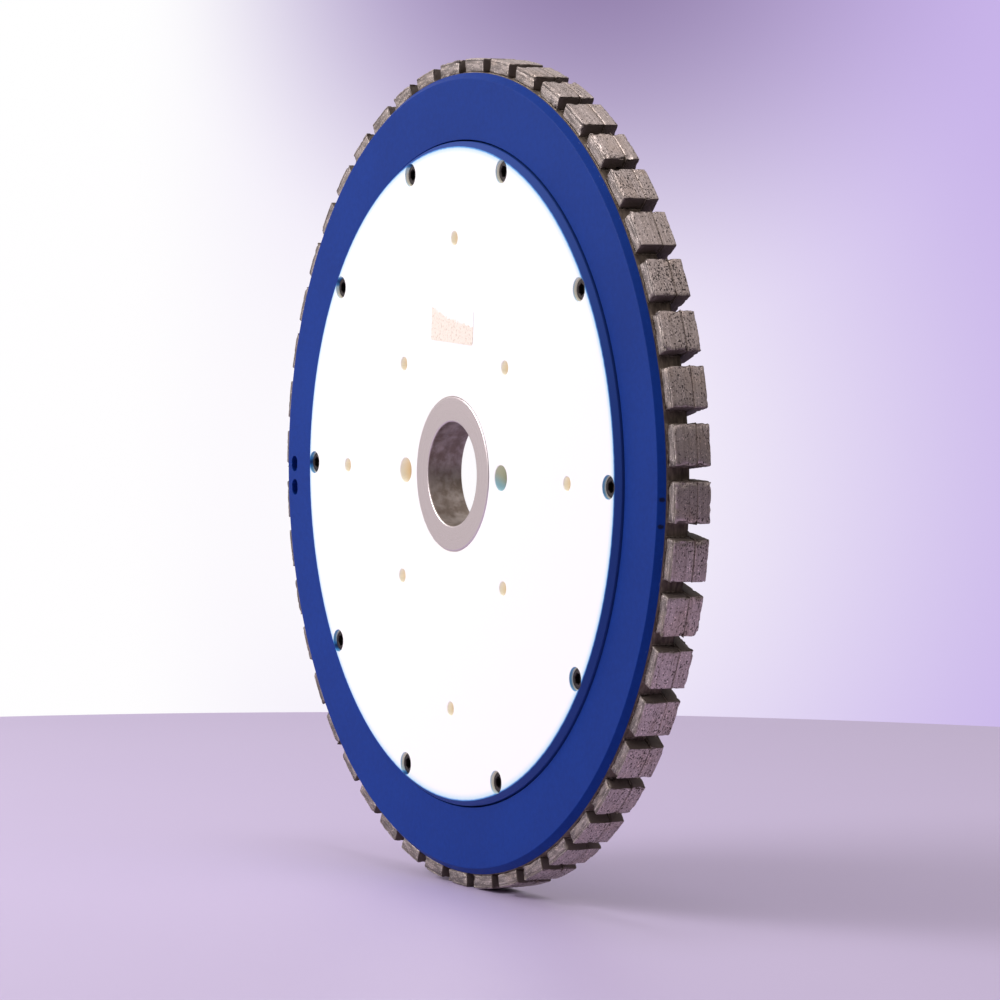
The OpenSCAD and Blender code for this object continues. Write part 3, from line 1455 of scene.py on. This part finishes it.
@dataclass
class SolderSeams:
    """The solder: the CAD's thin seams with a finish, and the fillets that ran out round them."""

    finish: SilverSolder
    length: float = 19.6
    bead_r: float = 0.34
    step: float = 0.7
    sides: int = 8
    seed: int = 3

    def build(self) -> None:
        """Dresses the CAD seams and adds one fillet round three sides of each rim segment."""
        seams = frame["nodes"]["braze_seams"]
        seams.data.materials.clear()
        seams.data.materials.append(self.finish.material())
        draw = random.Random(self.seed)
        bm = bmesh.new()
        for n in range(STATIONS):
            self.fillet(bm, STATION_PHASE + math.tau * n / STATIONS, draw.uniform(0.0, 500.0))
        fillets = as_object("solder_fillets", bm)
        for face in fillets.data.polygons:
            face.use_smooth = True
        dress(fillets, self.finish)

    def route(self) -> list[Spot]:
        """The fillet's way round a segment: forwards along one end, along the front, and back.

        Returns:
            Places along the circumference and heights.
        """
        front, back, _ = Extent.of("rim_segment_01")
        half = self.length / 2 - 0.1
        stops = [(-half, back - 0.6), (-half, front + 0.05), (half, front + 0.05), (half, back - 0.6)]
        points = []
        for (t0, y0), (t1, y1) in zip(stops, stops[1:]):
            count = max(2, round(math.hypot(t1 - t0, y1 - y0) / self.step))
            points += [(t0 + (t1 - t0) * k / count, y0 + (y1 - y0) * k / count) for k in range(count)]
        return [*points, stops[-1]]

    def fillet(self, bm: Mesh, angle: float, seed: float) -> None:
        """One uneven bead of solder in the corner between a segment and the rim.

        Args:
            bm: The mesh that it is added to.
            angle: The station's angle, in radians.
            seed: Where in the noise this bead starts.
        """
        seat = Extent.of("rim_ring").outer
        route = self.route()
        rings = []
        for i, (t, y) in enumerate(route):
            before, after = route[max(0, i - 1)], route[min(len(route) - 1, i + 1)]
            way = Vector((after[0] - before[0], after[1] - before[1])).normalized()
            lump = noise.noise(Vector((seed, t * 0.55, y * 0.55)))
            size = self.bead_r * (0.85 + 0.75 * lump)
            size *= 0.25 if i in (0, len(route) - 1) else 1.0
            ring = []
            for k in range(self.sides):
                side, up = polar(size, math.tau * k / self.sides)
                local = Vector((t + way.y * side, seat + up * 0.8, y - way.x * side))
                ring.append(bm.verts.new(on_wheel(local, angle) * MM))
            rings.append(ring)
        bridge(bm, rings)
        bm.faces.new(rings[0])
        bm.faces.new(rings[-1])


# --- studio


@dataclass(frozen=True)
class Softbox:
    """A soft studio light: where it stands, seen from the wheel, and how bright it is."""

    name: str
    azimuth_deg: float
    elevation_deg: float
    distance: float
    size: float
    watts: float


@dataclass(frozen=True)
class Viewpoint:
    """Where the camera stands, as seen from the middle of the wheel's front face."""

    azimuth_deg: float = 61.73
    elevation_deg: float = 2.65
    roll_deg: float = 0.5
    distance: float = 2.1794
    lens_mm: float = 162.8
    aim_right: float = 0.02298
    aim_up: float = -0.01254


@dataclass
class Studio:
    """A plain pale floor, soft light and the camera."""

    view: Viewpoint = Viewpoint()
    floor_finish: StudioFloor = StudioFloor()
    floor_r: float = 0.90
    lights: tuple[Softbox, ...] = (
        Softbox("key", -31.0, 26.0, 1.9, 1.25, 31.0),
        Softbox("top", 0.0, 89.0, 1.5, 0.5, 5.0),
    )
    rear_axis: Axis = (-0.35, 0.90, 0.25)
    sky_axis: Axis = (-0.70, -0.55, 0.45)
    across: Axis = (0.474, 0.880, 0.0)
    dim: Colour = (0.05, 0.047, 0.048)
    bright: Colour = (0.84, 0.795, 0.81)
    lilac: Colour = (0.58, 0.455, 0.82)
    white: Colour = (1.0, 1.0, 1.0)
    glow: Colour = (1.0, 0.98, 1.0)
    dusk: Colour = (0.27, 0.20, 0.385)

    def build(self) -> None:
        """Makes everything round the wheel."""
        bpy.context.scene.view_settings.view_transform = "Standard"
        self.camera()
        self.floor()
        self.sky()
        for light in self.lights:
            self.softbox(light)

    @staticmethod
    def direction(azimuth_deg: float, elevation_deg: float) -> Vector:
        """The way from the wheel to something at an azimuth and elevation, with azimuth 0 at -Y."""
        a, e = math.radians(azimuth_deg), math.radians(elevation_deg)
        return Vector((math.sin(a) * math.cos(e), -math.cos(a) * math.cos(e), math.sin(e)))

    def camera(self) -> None:
        """Stands the camera in front of the wheel."""
        view = self.view
        face = Vector((0.0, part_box("core_disc")[0].y, 0.0))
        back = self.direction(view.azimuth_deg, view.elevation_deg)
        level = Vector((0.0, 0.0, 1.0)).cross(back).normalized()
        upright = back.cross(level)
        roll = math.radians(view.roll_deg)
        right = level * math.cos(roll) + upright * math.sin(roll)
        up = upright * math.cos(roll) - level * math.sin(roll)
        data = bpy.data.cameras.new("camera")
        data.lens = view.lens_mm
        data.sensor_width = 36.0
        place = face + right * view.aim_right + up * view.aim_up + back * view.distance
        turn = Matrix((right, up, back)).transposed().to_4x4()
        bpy.context.scene.camera = placed("camera", data, Matrix.Translation(place) @ turn)

    def floor(self) -> None:
        """Lays a round floor under the wheel."""
        low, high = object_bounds()
        middle_y = (low.y + high.y) / 2
        bm = bmesh.new()
        rings = []
        for r in (0.0, 0.3, 0.6, self.floor_r):
            spots = on_circle(192 if r else 1, r)
            rings.append([bm.verts.new((x, middle_y + y, low.z)) for x, y in spots])
        bridge(bm, rings)
        made = as_object("studio_floor", bm)
        made.data.materials.append(self.floor_finish.material())
        made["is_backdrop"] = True

    def sky(self) -> None:
        """A lilac surround that lights the wheel brightly from the left and overhead and dimly from the
        right; camera rays see their own backdrop, whiter towards the left, with a painted glow and a painted
        dark patch that give no light.
        """
        world = bpy.data.worlds.new("studio")
        world.use_nodes = True
        bpy.context.scene.world = world
        graph = Graph(world.node_tree)
        way = graph.node("ShaderNodeTexCoord", output="Generated")
        side = graph.dot(way, self.across)
        up = graph.node("ShaderNodeSeparateXYZ", inputs={"Vector": way}).sibling("Z")
        overhead = up.smooth(0.12, 0.6) * 0.82
        share = graph.dot(way, self.sky_axis).smooth(-0.25, 0.85).call("MAXIMUM", overhead)
        share = share.call("MAXIMUM", graph.dot(way, self.rear_axis).smooth(0.55, 1.0) * 0.7)
        light = graph.mix(share, self.dim, self.bright)
        # Camera rays see their own backdrop, which gives no light: whiter towards the left, with a painted
        # glow and a painted dark patch.
        wall = graph.mix(side.smooth(-0.01, -0.085), self.lilac, self.white)
        wall = graph.mix(self.patch(side, up, (-0.015, -0.045), 0.16), wall, self.glow)
        seen = graph.mix(self.patch(side, up, (0.018, 0.085), 0.10), wall, self.dusk)
        lamp = graph.node("ShaderNodeBackground", inputs={"Color": light})
        view = graph.node("ShaderNodeBackground", inputs={"Color": seen})
        ray = graph.node("ShaderNodeLightPath", output="Is Camera Ray")
        both = graph.node("ShaderNodeMixShader", inputs={0: ray, 1: lamp, 2: view})
        graph.node("ShaderNodeOutputWorld", inputs={"Surface": both})

    @staticmethod
    def patch(side: Sock, up: Sock, at: Spot, reach: float) -> Sock:
        """A soft round patch of the surround, 1 in its middle and 0 beyond its reach."""
        return Graph.away(side - at[0], up - at[1]).smooth(reach, 0.0)

    def softbox(self, light: Softbox) -> None:
        """Hangs one soft light, aimed at the wheel.

        Args:
            light: Which one.
        """
        data = bpy.data.lights.new(light.name, "AREA")
        data.shape = "SQUARE"
        data.size = light.size
        data.energy = light.watts
        way = self.direction(light.azimuth_deg, light.elevation_deg)
        turn = way.to_track_quat("Z", "Y").to_matrix().to_4x4()
        placed(light.name, data, Matrix.Translation(way * light.distance) @ turn)


def main() -> None:
    """Sets up the studio, and builds the wheel's sub-assemblies in order."""
    logging.basicConfig(level=logging.INFO, format="%(name)s: %(message)s")
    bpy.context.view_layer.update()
    parts = (
        Studio(),
        SteelRim(BlueEnamel()),
        NylonCore(MachinedNylon()),
        BoreBush(TurnedSteel()),
        CapScrews(BlackenedSteel()),
        PaperLabel(WornPaper()),
        DiamondSegments(SinteredMetal()),
        SolderSeams(SilverSolder()),
    )
    for part in parts:
        part.build()


if __name__ == "__main__":
    main()
